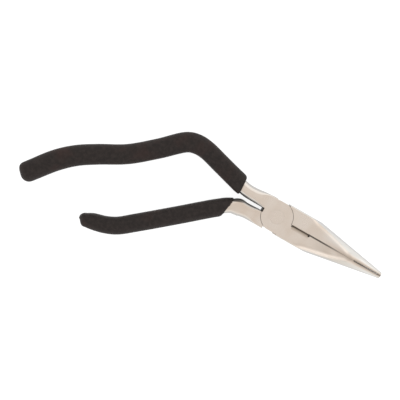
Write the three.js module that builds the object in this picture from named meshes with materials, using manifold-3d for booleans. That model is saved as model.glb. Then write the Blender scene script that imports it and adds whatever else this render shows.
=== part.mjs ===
// Needle nose pliers with a side cutter, bent handles and dipped grips.
//
// Frame, in millimetres: the origin is the centre of the rivet's back end, on the back face of the
// joint. +X runs along the jaws to the tip, +Y is the side of the upper jaw, and +Z rises through
// the joint from its back face to its front face. The jaws are shut.
//
// Each half is one forging: handle tang, neck, a disc in one layer of the lap joint, and the jaw on
// the other side of the jaw line. Both halves are made by the same function in the place of the
// front half, and the back half is that shape turned over about the jaw axis.

import * as THREE from 'three';
import { mergeVertices } from 'three/addons/utils/BufferGeometryUtils.js';
import Module from 'manifold-3d';

const wasm = await Module();
wasm.setup();

// ---- Joint ----
const jointThickness = 10.3;      // face to face, also the thickness of necks and jaws
const discRadius = 8.9;           // round shoulder on which the halves slide past each other
const shoulderGap = 0.1;          // between a disc and the shoulder that turns round it
const layerGap = 0.08;            // between the two discs, at mid thickness
const cheekHalfWidth = 8.6;       // flats on the outer sides of the discs
const cheekNeckEnd = 7.7;         // where a cheek flat steps out to its neck, behind the pivot
const cheekJawEnd = 4.4;          // where a cheek flat steps out to its jaw, ahead of the pivot
const shoulderAngle = 60;         // degrees up from the jaw axis to which a shoulder stays round
const jawShoulderEnd = 3.4;       // where the jaw's shoulder meets its outline, ahead of the pivot
const neckShoulderEnd = 3.9;      // where the neck's shoulder meets its outline, behind the pivot

// ---- Rivet ----
const rivetRadius = 3;            // shank
const rivetHeadRadius = 4;        // countersunk ends, flush with both faces
const rivetHeadDepth = 1;         // height of the countersink
const rivetClearance = 0.05;      // radial play of both halves on the rivet

// ---- Jaws ----
const jawLength = 66.2;           // pivot to tip
const jawHalfWidth = 9.3;         // root of the jaws, outline to jaw line
const tipRadius = 1.75;           // radius of the nose cone at the tip
const coneHalfAngle = 10.1;       // degrees, ground cone of the nose
const tipRounding = 0.8;          // rounding of the tip's edge
const roundMiddle = 1 - Math.SQRT1_2;  // share of a rounding from its corner to its middle point
const edgeRadius = 1.3;           // rounded outer edges of jaws and necks
const cutterStart = 9.9;          // inner end of the cutting edges
const cutterLength = 10.3;        // along the jaw line
const cutterBevel = 0.6;          // half width of the cutter's bevels at the faces
const cutterBevelDepth = 2.4;     // depth of those bevels
const bladeGap = 0.1;             // between the cutting edges
const throatEnd = 44;             // end of the relieved stretch between cutter and gripping faces
const throatGap = 0.44;           // between the jaws along that stretch
const gripGap = 0.1;              // between the crests of the gripping teeth
const toothPitch = 1.25;          // gripping teeth, cut across the jaws
const toothDepth = 0.3;
const toothStart = 48;            // first tooth groove
const toothTipMargin = 1.2;       // plain land left at the tip

// ---- Handles ----
const tangThickness = 7.6;        // thickness of the steel inside the grips
const taperStart = 11.5;          // the necks thin down from here, behind the pivot
const dipLevel = 24.9;            // the grips begin at this plane, behind the pivot
const coat = 1.6;                 // thickness of the dipped grip on the sides of the tang
const mouthCoat = 0.95;           // the same at the grip's mouth, where the dip is thinnest
const mouthRamp = 5;              // over this length the coat grows to its full thickness
const faceCoat = 1.75;            // thickness of the grip on the front and back of the tang
const gripFit = 0.3;              // clearance between a tang and its grip
const gripSquareness = 2.8;       // of a grip's cross-section: 2 is an ellipse, more is squarer
const tangEndCoat = 4;            // solid rubber beyond the end of each tang
const endReach = 0.9;             // a handle's round end reaches this share of its half width
const endSquareness = 2.6;        // 2 is a half circle, more is a blunter end

// Centre line of each handle's steel: [x, y, half width], from the joint to the end of the grip.
// Both are given with the neck on +Y, so the lower handle's are those of the half turned over.
const upperHandle = [
  [0, 4.8, 4],
  [-8.5, 4.75, 4],
  [-17, 4.35, 3.6],
  [-24.5, 4.95, 3.7],
  [-30, 6.6, 3.7],
  [-40.6, 9.6, 3.7],
  [-51.4, 12.4, 3.75],
  [-57, 12.6, 3.95],
  [-62.3, 11, 4.05],
  [-74.6, -0.2, 3.95],
  [-87.5, -11, 3.95],
  [-101.9, -19.4, 4.1],
  [-111.3, -25.5, 4.2],
  [-119.6, -33, 4.3],
  [-130.3, -46.4, 4.2],
];
const lowerHandle = [
  [0, 5.45, 4.1],
  [-8.5, 5.45, 4.1],
  [-17, 5.75, 4.2],
  [-24.8, 8, 3.75],
  [-30.4, 12.1, 3.5],
  [-46.4, 25.85, 3.4],
  [-65.1, 41.65, 3.4],
  [-73.3, 48.2, 3.3],
  [-79.7, 51.15, 3.15],
  [-86.5, 52.95, 2.9],
  [-90, 54.1, 2.2],
];
const neckOuterLine = { upper: 8.8, lower: 9.55 };  // neck outlines beside the pivot

// ---- Fineness of the round shapes ----
const discSides = 96;
const boreSides = 48;
const coneSides = 72;
const edgeSteps = 2;
const handleSteps = 34;
const capSteps = 6;
const gripSides = 24;
const capEndLand = 0.15;          // share of a step left flat at the very end of a grip
const weldDistance = 1e-4;        // vertices closer than this are one vertex

// ---- Derived sizes ----
const midHeight = jointThickness / 2;
const pocketRadius = discRadius + shoulderGap;
const tangInset = (jointThickness - tangThickness) / 2;
const far = 4 * jawLength;        // larger than any cut along or across the pliers needs
const beyond = 1;                 // how far a cut runs past the faces

// ---- Solids from three.js geometry ----

function solid(geometry) {
  const bare = geometry.clone();
  bare.deleteAttribute('normal');
  bare.deleteAttribute('uv');
  const merged = mergeVertices(bare, weldDistance);
  return new wasm.Manifold(new wasm.Mesh({
    numProp: 3,
    vertProperties: merged.attributes.position.array,
    triVerts: Uint32Array.from(merged.index.array),
  }));
}

function geometryOf(manifold) {
  const { vertProperties, triVerts } = manifold.getMesh();
  const geometry = new THREE.BufferGeometry();
  geometry.setAttribute('position', new THREE.Float32BufferAttribute(vertProperties, 3));
  geometry.setIndex(new THREE.Uint32BufferAttribute(triVerts, 1));
  geometry.computeVertexNormals();
  return geometry;
}

function box(x0, x1, y0, y1, z0, z1) {
  const geometry = new THREE.BoxGeometry(x1 - x0, y1 - y0, z1 - z0);
  geometry.translate((x0 + x1) / 2, (y0 + y1) / 2, (z0 + z1) / 2);
  return solid(geometry);
}

// A prism over a closed outline of [x, y] points, from z0 to z1.
function prism(points, z0, z1) {
  const shape = new THREE.Shape(points.map(([x, y]) => new THREE.Vector2(x, y)));
  const geometry = new THREE.ExtrudeGeometry(shape, { depth: z1 - z0, bevelEnabled: false });
  geometry.translate(0, 0, z0);
  return solid(geometry);
}

// The same with rounded edges: `rounding` is taken off the outline and off each face.
function roundedPrism(shape, z0, z1, rounding, steps) {
  const geometry = new THREE.ExtrudeGeometry(shape, {
    depth: z1 - z0 - 2 * rounding,
    bevelThickness: rounding,
    bevelSize: rounding,
    bevelOffset: -rounding,
    bevelSegments: steps,
  });
  geometry.translate(0, 0, z0 + rounding);
  return solid(geometry);
}

// A round solid about Z, from its [radius, z] profile.
function turned(profile, sides) {
  const geometry = new THREE.LatheGeometry(profile.map(([r, z]) => new THREE.Vector2(r, z)), sides);
  geometry.rotateX(Math.PI / 2);
  return solid(geometry);
}

function disc(radius, z0, z1, sides) {
  return turned([[0, z0], [radius, z0], [radius, z1], [0, z1]], sides);
}

// ---- Handles: ribbons along a centre line ----

// How much the coat stands out from the steel at a distance behind the grip's mouth.
function coatAt(x) {
  const behind = Math.max(0, -dipLevel - x);
  return coat - (coat - mouthCoat) * Math.exp(-behind / mouthRamp);
}

// Centre line of a handle as a curve whose third coordinate is the half width of its steel.
function handleCurve(line) {
  return new THREE.CatmullRomCurve3(line.map((p) => new THREE.Vector3(...p)), false, 'centripetal');
}

// A station on a handle: its centre, the direction along it and the one square to that, in plan.
function station(curve, at) {
  const centre = curve.getPointAt(at);
  const along = new THREE.Vector2().copy(curve.getTangentAt(at)).normalize();
  const right = new THREE.Vector2(along.y, -along.x);
  return { centre, along, right, half: centre.z };
}

// Outline of a handle's steel, made wider by `grow` on each side, with a round end. It stops
// `shorten` before the end of the centre line.
function handleShape(line, grow, shorten) {
  const curve = handleCurve(line);
  const last = 1 - shorten / curve.getLength();
  const left = [];
  const right = [];
  for (let i = 0; i <= handleSteps; i += 1) {
    const at = station(curve, (last * i) / handleSteps);
    const middle = new THREE.Vector2(at.centre.x, at.centre.y);
    left.push(middle.clone().addScaledVector(at.right, -at.half - grow));
    right.push(middle.clone().addScaledVector(at.right, at.half + grow));
  }
  const end = station(curve, last);
  const radius = end.half + grow;
  const cap = [];
  for (let i = 1; i < capSteps; i += 1) {
    const angle = (Math.PI * i) / capSteps;
    cap.push(new THREE.Vector2(end.centre.x, end.centre.y)
      .addScaledVector(end.right, -radius * Math.cos(angle))
      .addScaledVector(end.along, radius * Math.sin(angle)));
  }
  return new THREE.Shape([...left, ...cap, ...right.reverse()]);
}

// The outside of a grip: a cylinder bent along the handle, with a squarish section and a blunt end.
function dippedBar(line) {
  const curve = handleCurve(line);
  const rings = handleSteps + capSteps;
  const geometry = new THREE.CylinderGeometry(1, 1, 1, gripSides, rings);
  geometry.rotateY(Math.PI / gripSides);
  const height = tangThickness / 2 + faceCoat;
  const position = geometry.attributes.position;
  for (let i = 0; i < position.count; i += 1) {
    const ring = Math.round((position.getY(i) + 0.5) * rings);
    const at = station(curve, Math.min(ring / handleSteps, 1));
    const width = at.half + coatAt(at.centre.x);
    const turn = Math.max(0, (ring - handleSteps) / (capSteps + capEndLand)) * (Math.PI / 2);
    const shrink = Math.cos(turn) ** (2 / endSquareness);
    const ahead = width * endReach * Math.sin(turn) ** (2 / endSquareness);
    const across = squarish(position.getX(i)) * width * shrink;
    const up = squarish(position.getZ(i)) * height * shrink;
    position.setXYZ(
      i,
      at.centre.x + at.right.x * across + at.along.x * ahead,
      at.centre.y + at.right.y * across + at.along.y * ahead,
      midHeight + up,
    );
  }
  return solid(geometry);
}

// Moves a coordinate on the unit circle out to the squarer section of the grips.
function squarish(coordinate) {
  return Math.sign(coordinate) * Math.abs(coordinate) ** (2 / gripSquareness);
}

// ---- Jaws ----

// The nose before the jaws are parted: a rounded bar inside a cone about the jaw axis.
function noseBlank() {
  const bar = new THREE.Shape([
    new THREE.Vector2(-jawHalfWidth, -jawHalfWidth),
    new THREE.Vector2(jawLength + jawHalfWidth, -jawHalfWidth),
    new THREE.Vector2(jawLength + jawHalfWidth, jawHalfWidth),
    new THREE.Vector2(-jawHalfWidth, jawHalfWidth),
  ]);
  const slope = Math.tan(THREE.MathUtils.degToRad(coneHalfAngle));
  const rootRadius = tipRadius + slope * (jawLength + jawHalfWidth);
  const cone = turned([
    [0, -jawHalfWidth],
    [rootRadius, -jawHalfWidth],
    [tipRadius + slope * tipRounding, jawLength - tipRounding],
    [tipRadius - tipRounding * roundMiddle, jawLength - tipRounding * roundMiddle],
    [tipRadius - tipRounding, jawLength],
    [0, jawLength],
  ], coneSides).rotate([0, 90, 0]).translate([0, 0, midHeight]);
  return roundedPrism(bar, 0, jointThickness, edgeRadius, edgeSteps).intersect(cone);
}

// What is taken off the jaw below the jaw line: one narrow gap over its whole length, the width of
// each stretch's own gap, the cutter's bevels and the teeth.
function jawLineCuts() {
  const cutterEnd = cutterStart + cutterLength;
  const top = jointThickness + beyond;
  let cuts = box(0, far, -Math.min(bladeGap, gripGap) / 2, beyond, -beyond, top);
  cuts = cuts.add(box(0, cutterEnd, -bladeGap / 2, beyond, -beyond, top));
  cuts = cuts.add(box(cutterEnd, throatEnd, -throatGap / 2, beyond, -beyond, top));
  cuts = cuts.add(box(throatEnd, far, -gripGap / 2, beyond, -beyond, top));
  for (const [face, inward] of [[0, 1], [jointThickness, -1]]) {
    const outside = face - inward * beyond;
    const root = face + inward * cutterBevelDepth;
    const bevel = new THREE.Shape([
      new THREE.Vector2(beyond, outside),
      new THREE.Vector2(beyond, root),
      new THREE.Vector2(-bladeGap / 2, root),
      new THREE.Vector2(-cutterBevel, face),
      new THREE.Vector2(-cutterBevel, outside),
    ]);
    const geometry = new THREE.ExtrudeGeometry(bevel, { depth: cutterLength, bevelEnabled: false });
    geometry.applyMatrix4(new THREE.Matrix4().makeBasis(
      new THREE.Vector3(0, 1, 0),
      new THREE.Vector3(0, 0, 1),
      new THREE.Vector3(1, 0, 0),
    ));
    geometry.translate(cutterStart, 0, 0);
    cuts = cuts.add(solid(geometry));
  }
  const teeth = Math.floor((jawLength - toothTipMargin - toothStart) / toothPitch);
  const crest = -gripGap / 2;
  for (let i = 0; i < teeth; i += 1) {
    const x = toothStart + toothPitch * i;
    cuts = cuts.add(prism([
      [x, crest],
      [x + toothPitch / 2, crest - toothDepth],
      [x + toothPitch, crest],
      [x + toothPitch, beyond],
      [x, beyond],
    ], -beyond, top));
  }
  return cuts;
}

// ---- One half, with its disc in the front layer, its neck on +Y and its jaw on -Y ----

function forgedHalf(line, neckOutline) {
  const jaw = noseBlank()
    .intersect(box(0, far, -far, 0, -beyond, jointThickness + beyond))
    .subtract(jawLineCuts());
  const outline = handleShape(line, 0, tangEndCoat);
  const neck = roundedPrism(outline, 0, jointThickness, edgeRadius, edgeSteps)
    .intersect(thinnedSide())
    .intersect(box(gripFit - dipLevel, far, -far, far, -beyond, jointThickness + beyond));
  const tang = roundedPrism(outline, tangInset, jointThickness - tangInset, edgeRadius, edgeSteps);
  const layerFace = midHeight + layerGap / 2;
  const frontDisc = disc(discRadius, layerFace, jointThickness, discSides);
  const pocket = disc(pocketRadius, -beyond, layerFace, discSides);
  return neck.add(tang).add(jaw).add(frontDisc)
    .subtract(pocket)
    .subtract(shoulderRelief(neckOutline, layerFace))
    .subtract(cheekSteps(layerFace))
    .subtract(rivetBore());
}

// Side view of the handles: full thickness at the joint, thinner inside the grips.
function thinnedSide() {
  const outline = [
    [far, 0],
    [far, jointThickness],
    [-taperStart, jointThickness],
    [-dipLevel, jointThickness - tangInset],
    [-far, jointThickness - tangInset],
    [-far, tangInset],
    [-dipLevel, tangInset],
    [-taperStart, 0],
  ];
  return prism(outline, -far, far).rotate([90, 0, 0]);
}

// In the back layer the neck and the jaw end at the other half's disc: round up to shoulderAngle,
// then straight out to the outline.
function shoulderRelief(neckOutline, top) {
  const angle = THREE.MathUtils.degToRad(shoulderAngle);
  const x = pocketRadius * Math.cos(angle);
  const y = pocketRadius * Math.sin(angle);
  const neck = prism([
    [-x, y],
    [0, 0],
    [discRadius, 0],
    [discRadius, 2 * neckOutline],
    [-neckShoulderEnd, 2 * neckOutline],
    [-neckShoulderEnd, neckOutline],
  ], -beyond, top);
  const jaw = prism([
    [x, -y],
    [0, 0],
    [-discRadius, 0],
    [-discRadius, -2 * jawHalfWidth],
    [jawShoulderEnd, -2 * jawHalfWidth],
    [jawShoulderEnd, -jawHalfWidth],
  ], -beyond, top);
  return neck.add(jaw);
}

// In the front layer the neck, the disc and the jaw share a straight cheek flat on each side.
function cheekSteps(bottom) {
  const top = jointThickness + beyond;
  return box(-cheekNeckEnd, discRadius, cheekHalfWidth, 2 * jawHalfWidth, bottom, top)
    .add(box(-discRadius, cheekJawEnd, -2 * jawHalfWidth, -cheekHalfWidth, bottom, top));
}

function rivetProfile(play) {
  return [
    [0, 0],
    [rivetHeadRadius + play, 0],
    [rivetRadius + play, rivetHeadDepth],
    [rivetRadius + play, jointThickness - rivetHeadDepth],
    [rivetHeadRadius + play, jointThickness],
    [0, jointThickness],
  ];
}

function rivetBore() {
  return turned(rivetProfile(rivetClearance), boreSides);
}

// ---- Grips: dipped sleeves, closed at the handle's end and cut square at the dip level ----

function grip(line) {
  const height = tangThickness + 2 * gripFit;
  const floor = midHeight - height / 2;
  const shape = handleShape(line, gripFit, tangEndCoat);
  const room = roundedPrism(shape, floor, floor + height, edgeRadius, edgeSteps);
  return dippedBar(line)
    .subtract(room)
    .subtract(box(-dipLevel, far, -far, far, -far, far));
}

// ---- Assembly ----

const steel = new THREE.MeshStandardMaterial({ color: 0xd5c9bd, roughness: 0.35, metalness: 0.9 });
const rivetSteel = new THREE.MeshStandardMaterial({ color: 0xd0c5b8, roughness: 0.32, metalness: 0.9 });
const rubber = new THREE.MeshStandardMaterial({ color: 0x3b3535, roughness: 0.8, metalness: 0 });

function piece(name, manifold, material) {
  const mesh = new THREE.Mesh(geometryOf(manifold), material.clone());
  mesh.name = name;
  return mesh;
}

const pliers = new THREE.Group();

const frontBody = new THREE.Group();
frontBody.add(piece('front_half', forgedHalf(upperHandle, neckOuterLine.upper), steel));
frontBody.add(piece('pivot_rivet', turned(rivetProfile(0), boreSides), rivetSteel));
frontBody.add(piece('upper_grip', grip(upperHandle), rubber));
pliers.add(frontBody);

const backBody = new THREE.Group();
backBody.add(piece('back_half', forgedHalf(lowerHandle, neckOuterLine.lower), steel));
backBody.add(piece('lower_grip', grip(lowerHandle), rubber));
backBody.rotation.x = Math.PI;
backBody.position.z = jointThickness;
pliers.add(backBody);

export default pliers;
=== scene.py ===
"""Needle nose pliers with a side cutter, bent handles and dipped grips.

The pliers lie on their back with the jaws shut. Everything is built in millimetres, in the frame's
own directions: the origin is the rivet's back end, +X runs to the tip, +Y is the upper jaw's side
and +Z the front face. A finished piece is turned into metres. Each half is built with its disc in
the front layer, its neck on +Y and its jaw on -Y, and the back half is turned over about the jaws.
"""

import logging
import math
from collections.abc import Callable
from dataclasses import dataclass, field
from enum import Enum

import bmesh
import bpy
import numpy as np
from mathutils import Matrix, Vector


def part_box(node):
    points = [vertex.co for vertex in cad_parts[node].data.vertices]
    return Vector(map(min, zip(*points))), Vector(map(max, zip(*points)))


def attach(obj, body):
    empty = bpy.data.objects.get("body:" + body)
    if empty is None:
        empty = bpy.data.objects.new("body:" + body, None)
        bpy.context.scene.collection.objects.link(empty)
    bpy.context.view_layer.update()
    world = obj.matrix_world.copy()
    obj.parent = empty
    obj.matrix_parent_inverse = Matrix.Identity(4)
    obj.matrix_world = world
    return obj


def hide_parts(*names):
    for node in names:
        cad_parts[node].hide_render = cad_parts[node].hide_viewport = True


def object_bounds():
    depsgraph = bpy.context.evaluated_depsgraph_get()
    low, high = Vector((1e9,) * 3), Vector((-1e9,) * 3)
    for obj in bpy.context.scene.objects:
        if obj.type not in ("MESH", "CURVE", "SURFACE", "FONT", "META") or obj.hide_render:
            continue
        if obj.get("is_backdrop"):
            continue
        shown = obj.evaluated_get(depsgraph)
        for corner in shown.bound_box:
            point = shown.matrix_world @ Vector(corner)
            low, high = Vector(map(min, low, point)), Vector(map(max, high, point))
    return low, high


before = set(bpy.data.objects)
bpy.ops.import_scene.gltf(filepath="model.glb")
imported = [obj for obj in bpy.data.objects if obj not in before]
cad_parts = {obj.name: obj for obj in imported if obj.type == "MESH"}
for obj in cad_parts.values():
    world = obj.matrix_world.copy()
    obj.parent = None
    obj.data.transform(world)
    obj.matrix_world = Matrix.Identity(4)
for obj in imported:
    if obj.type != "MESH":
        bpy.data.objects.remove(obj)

MM = 0.001
LOG = logging.getLogger("pliers")
FAR = 400.0         # longer than any cut needs to be
BEYOND = 1.0        # how far a cut runs past a face
WELD = 1e-4         # points closer than this are one

Span = tuple[float, float]
Triple = tuple[float, float, float]
Points = list[Span]
Colour = tuple[float, float, float, float]


class Cut(Enum):
    """How one solid acts on another."""

    ADD = "UNION"
    TAKE = "DIFFERENCE"
    KEEP = "INTERSECT"


class Half(Enum):
    """The two forgings, by the layer of the lap joint that holds their disc."""

    FRONT = "front"
    BACK = "back"


# ---- Node sockets as numbers ----


class Socket:
    """A node's output, or a plain number, that takes part in Python sums."""

    def __init__(self, tree: bpy.types.NodeTree, value: object) -> None:
        """Wraps a socket or a number of a tree."""
        self.tree = tree
        self.value = value

    def maths(self, operation: str, *others: object) -> "Socket":
        """Adds a Math node.

        Args:
            operation: the node's operation, such as ADD.
            others: the values after this one, as Sockets or numbers.

        Returns:
            The node's result.
        """
        return add(self.tree, "ShaderNodeMath", {"operation": operation}, self, *others)

    def __add__(self, other: object) -> "Socket":
        """self + other."""
        return self.maths("ADD", other)

    def __sub__(self, other: object) -> "Socket":
        """self - other."""
        return self.maths("SUBTRACT", other)

    def __mul__(self, other: object) -> "Socket":
        """self * other."""
        return self.maths("MULTIPLY", other)

    def __truediv__(self, other: object) -> "Socket":
        """self / other."""
        return self.maths("DIVIDE", other)

    def __pow__(self, other: object) -> "Socket":
        """self ** other."""
        return self.maths("POWER", other)

    def __rsub__(self, other: object) -> "Socket":
        """other - self."""
        return Socket(self.tree, other).maths("SUBTRACT", self)

    def __rtruediv__(self, other: object) -> "Socket":
        """other / self."""
        return Socket(self.tree, other).maths("DIVIDE", self)

    __radd__ = __add__
    __rmul__ = __mul__

    def __abs__(self) -> "Socket":
        """abs(self)."""
        return self.maths("ABSOLUTE")

    def ramp(self, start: float, end: float) -> "Socket":
        """Rises smoothly from 0 at start to 1 at end, or falls where start is the larger.

        Args:
            start: the value that gives 0.
            end: the value that gives 1.

        Returns:
            The smoothed share.
        """
        low, high = min(start, end), max(start, end)
        settings = {"interpolation_type": "SMOOTHSTEP"}
        share = add(self.tree, "ShaderNodeMapRange", settings, self, low, high, 0.0, 1.0)
        return share if start < end else 1.0 - share


def add(tree: bpy.types.NodeTree, kind: str, settings: dict[str, object], *values: object,
        output: int | str = 0, **named: object) -> Socket:
    """Adds a node of any type to a tree.

    Args:
        tree: the node tree.
        kind: the node's type, such as ShaderNodeTexNoise.
        settings: properties of the node, set before its sockets.
        values: values or links of the inputs in order, None to leave one alone.
        output: index or name of the output to hand back.
        named: values or links of inputs by name, with _ for a space.

    Returns:
        The chosen output.
    """
    node = tree.nodes.new(kind)
    for name, value in settings.items():
        setattr(node, name, value)
    inputs = list(zip(node.inputs, values))
    by_name = {socket.name: socket for socket in reversed(node.inputs) if socket.enabled}
    inputs += [(by_name[name.replace("_", " ")], value) for name, value in named.items()]
    for socket, value in inputs:
        plain = value.value if isinstance(value, Socket) else value
        if isinstance(plain, bpy.types.NodeSocket):
            tree.links.new(plain, socket)
        elif plain is not None:
            socket.default_value = plain
    if isinstance(output, str):
        return Socket(tree, node.outputs[output])
    shown = [socket for socket in node.outputs if socket.enabled]
    return Socket(tree, shown[output]) if shown else Socket(tree, None)


# ---- Finishes ----


class Finish:
    """A material in the making: its tree, its places in millimetres and its shader."""

    def __init__(self, name: str) -> None:
        """Starts a material of that name."""
        self.material = bpy.data.materials.new(name)
        self.material.use_nodes = True
        self.tree = self.material.node_tree
        self.shader = self.tree.nodes["Principled BSDF"]
        place = add(self.tree, "ShaderNodeTexCoord", {}, output="Object")
        self.place = add(self.tree, "ShaderNodeVectorMath", {"operation": "SCALE"}, place,
                         Scale=1.0 / MM)

    def axes(self) -> tuple[Socket, Socket, Socket]:
        """The place on the piece as three numbers in millimetres."""
        return tuple(add(self.tree, "ShaderNodeSeparateXYZ", {}, self.place, output=axis)
                     for axis in "XYZ")

    def stretched(self, factors: Triple) -> Socket:
        """The place on the piece, multiplied along each axis."""
        return add(self.tree, "ShaderNodeVectorMath", {"operation": "MULTIPLY"}, self.place, factors)

    def noise(self, where: Socket, per_mm: float, detail: float = 3.0, rough: float = 0.55) -> Socket:
        """Soft noise from 0 to 1, with about per_mm lumps in a millimetre."""
        return add(self.tree, "ShaderNodeTexNoise", {}, Vector=where, Scale=per_mm, Detail=detail,
                   Roughness=rough)

    def blend(self, share: Socket, low: Colour | Socket,
              high: Colour | Socket) -> Socket:
        """A colour between two, each a colour or a link."""
        settings = {"data_type": "RGBA", "clamp_factor": True}
        return add(self.tree, "ShaderNodeMix", settings, Factor=share, A=low, B=high)

    def bump(self, height: Socket, depth: float, under: Socket | None = None) -> Socket:
        """A normal from a height of depth millimetres, laid over another normal if one is given."""
        return add(self.tree, "ShaderNodeBump", {}, Height=height, Distance=depth * MM,
                   Strength=1.0, Normal=under)

    def varies(self, socket: str, value: Socket) -> None:
        """Lets an input of the shader vary over the surface."""
        self.tree.links.new(value.value, self.shader.inputs[socket])

    def fixed(self, **values: object) -> None:
        """Sets inputs of the shader that are the same everywhere, with _ for a space."""
        for name, value in values.items():
            self.shader.inputs[name.replace("_", " ")].default_value = value


@dataclass(frozen=True)
class Streak:
    """A streak of painted highlight or painted shade on the steel, in millimetres: it fades in and
    out along the jaws.
    """

    fade_in: Span                    # along the jaws, from none to full
    fade_out: Span                   # along the jaws, from none back to full
    across: float                    # its middle line
    width: Span                      # half widths at which it is gone and at which it is full
    strength: float

    def share(self, x: Socket, y: Socket) -> Socket:
        """How strong the streak is at a place."""
        along = x.ramp(*self.fade_in) * x.ramp(*self.fade_out)
        return along * abs(y - self.across).ramp(*self.width) * self.strength


@dataclass(frozen=True)
class SatinSteel:
    """Nickel-finished forged steel: ground faces, painted highlights on the roundings and painted
    shade in the seams, gaps and grooves.

    Tilts are the upward share of the surface's direction: 1 on a flat face, 0 on an upright side.
    """

    name: str = "satin_steel"
    nose_length: float = 66.2        # from the pivot to the tip
    nose_radius: float = 1.75        # of the ground cone at the tip
    nose_slope: float = 0.178        # how fast the cone widens from there
    mid_height: float = 5.15
    colour: Colour = (0.705, 0.620, 0.545, 1.0)
    warm_colour: Colour = (0.630, 0.525, 0.435, 1.0)
    cloud_per_mm: float = 0.09       # broad clouds between the two
    cloud_tone: Span = (0.35, 0.68)
    cloud_share: float = 0.55
    fleck_per_mm: float = 2.2        # fine flecks between the two
    fleck_tone: Span = (0.45, 0.75)
    fleck_share: float = 0.2
    fleck_height: float = 0.3        # next to the grinding lines
    neck_start: Span = (-6.0, -11.0)
    neck_share: float = 0.4          # of the warm colour
    neck_shade_tilt: Span = (0.94, 0.70)   # painted shade: the necks' rounded edges are darker
    neck_edge_shade_colour: Colour = (0.480, 0.455, 0.430, 1.0)
    band_tilt: Span = (0.998, 0.985)  # painted highlight: a bright band where the necks' flats begin to round off
    band_side: Span = (3.5, 5.0)     # across the jaws
    band_lower: float = 0.25         # strength on the lower neck and on the upper one
    band_upper: float = 0.75
    band_highlight_colour: Colour = (0.880, 0.810, 0.740, 1.0)
    sides: Span = (-1.0, 1.0)        # across the jaws, from the lower side to the upper one
    # painted highlight on the upper side, beside the nose's cone
    upper_highlight: Streak = Streak((20.0, 36.0), (80.0, 70.0), 4.5, (3.6, 0.6), 0.75)
    upper_highlight_colour: Colour = (0.735, 0.690, 0.640, 1.0)
    cone_highlight_tilt: Span = (0.98, 0.80)  # painted highlight on the nose's cone
    cone_highlight_colour: Colour = (0.650, 0.632, 0.600, 1.0)
    cone_lower_shade_colour: Colour = (0.545, 0.500, 0.445, 1.0)   # painted shade: dimmer on its lower side
    cone_lower_shade_end: Span = (60.0, 36.0)
    flank_tilt: Span = (0.62, 0.28)  # painted shade on the upright sides
    flank_share: float = 0.9
    flank_shade_colour: Colour = (0.450, 0.441, 0.435, 1.0)
    crest_width: float = 2.6         # worn roundness of the flats beside the cone
    crest_curve: float = 0.32        # per millimetre
    crest_start: Span = (14.0, 22.0)
    crest_end: Span = (52.0, 42.0)
    rim_width: Span = (1.2, 0.3)     # of the painted highlight along the lower crest's rim
    rim_offset: float = -0.35
    rim_end: Span = (45.0, 34.0)
    rim_highlight_colour: Colour = (0.800, 0.705, 0.620, 1.0)
    roughness: float = 0.30
    roughness_swing: float = 0.10
    grain_per_mm: float = 4.0        # grinding lines, counted along the jaws
    grain_stretch: Triple = (1.0, 0.06, 0.35)
    grain_depth: float = 0.0035
    # painted shade in tan beside the teeth, on the lower flat and on the cutter's bevel
    tan_shade_colour: Colour = (0.330, 0.250, 0.180, 1.0)
    # painted shade in the joint's hairline, along the slot and in the jaws' gaps, grooves and reliefs
    gap_shade_colour: Colour = (0.030, 0.022, 0.016, 1.0)
    seam_radius: float = 8.95        # the hairline where a disc meets a shoulder
    seam_width: Span = (0.22, 0.07)
    seam_end: Span = (8.0, 7.5)      # across the jaws
    seam_quarter: Span = (0.0, 0.6)  # x * y * height, which is above 0 beside a shoulder
    seam_strength: float = 0.7
    seam_roughness: float = 0.25     # rougher and less of a metal where the shade is painted
    seam_dullness: float = 0.35
    slot_edge: Span = (0.55, 0.0)    # soft border of the painted shade on the edges of the slot behind the joint
    slot_sides: Span = (0.5, -0.5)   # across the jaws, from its upper edge to its lower one
    slot_upper: float = 1.35         # how far from the jaw axis that border lies, on each side
    slot_lower: float = 1.6
    slot_spread: float = 0.0250      # the lower border leaves the axis with this times the square
    slot_bend: float = 14.0          # of the distance behind this place
    slot_start: Span = (-8.9, -10.5)
    slot_strength: float = 0.2
    slot_deep_start: Span = (-16.0, -22.5)     # and where the painted shade is darker by so much
    slot_deepening: float = 0.6
    # painted shade in tan
    tan_shades: tuple[Streak, ...] = (
        Streak((30.0, 46.0), (80.0, 70.0), 0.0, (2.2, 0.3), 0.42),       # beside the teeth
        Streak((22.0, 30.0), (38.0, 31.0), -2.3, (3.2, 1.2), 0.22),      # lower flat
        Streak((9.6, 9.9), (20.6, 20.2), -0.7, (1.8, 0.4), 0.55),        # cutter's bevel
    )
    # painted shade at the slot's end, in the cutter and its reliefs, the throat and the teeth's
    # grooves
    recess_shades: tuple[Streak, ...] = (
        Streak((-9.6, -9.2), (-8.0, -8.3), -0.45, (1.35, 1.1), 1.0),     # end of the slot
        Streak((9.6, 9.9), (20.6, 20.2), -0.4, (1.1, 0.2), 0.12),        # cutter
        Streak((9.0, 9.3), (10.2, 9.9), -0.3, (0.8, 0.5), 0.55),         # cutter's inner relief
        Streak((19.7, 19.9), (20.9, 20.6), -0.6, (0.7, 0.45), 0.8),      # cutter's outer relief
        Streak((19.6, 20.2), (44.0, 28.0), 0.0, (0.62, 0.34), 0.75),     # throat
        Streak((48.0, 49.0), (80.0, 70.0), 0.0, (0.70, 0.20), 0.50),     # gripping teeth
    )

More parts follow.
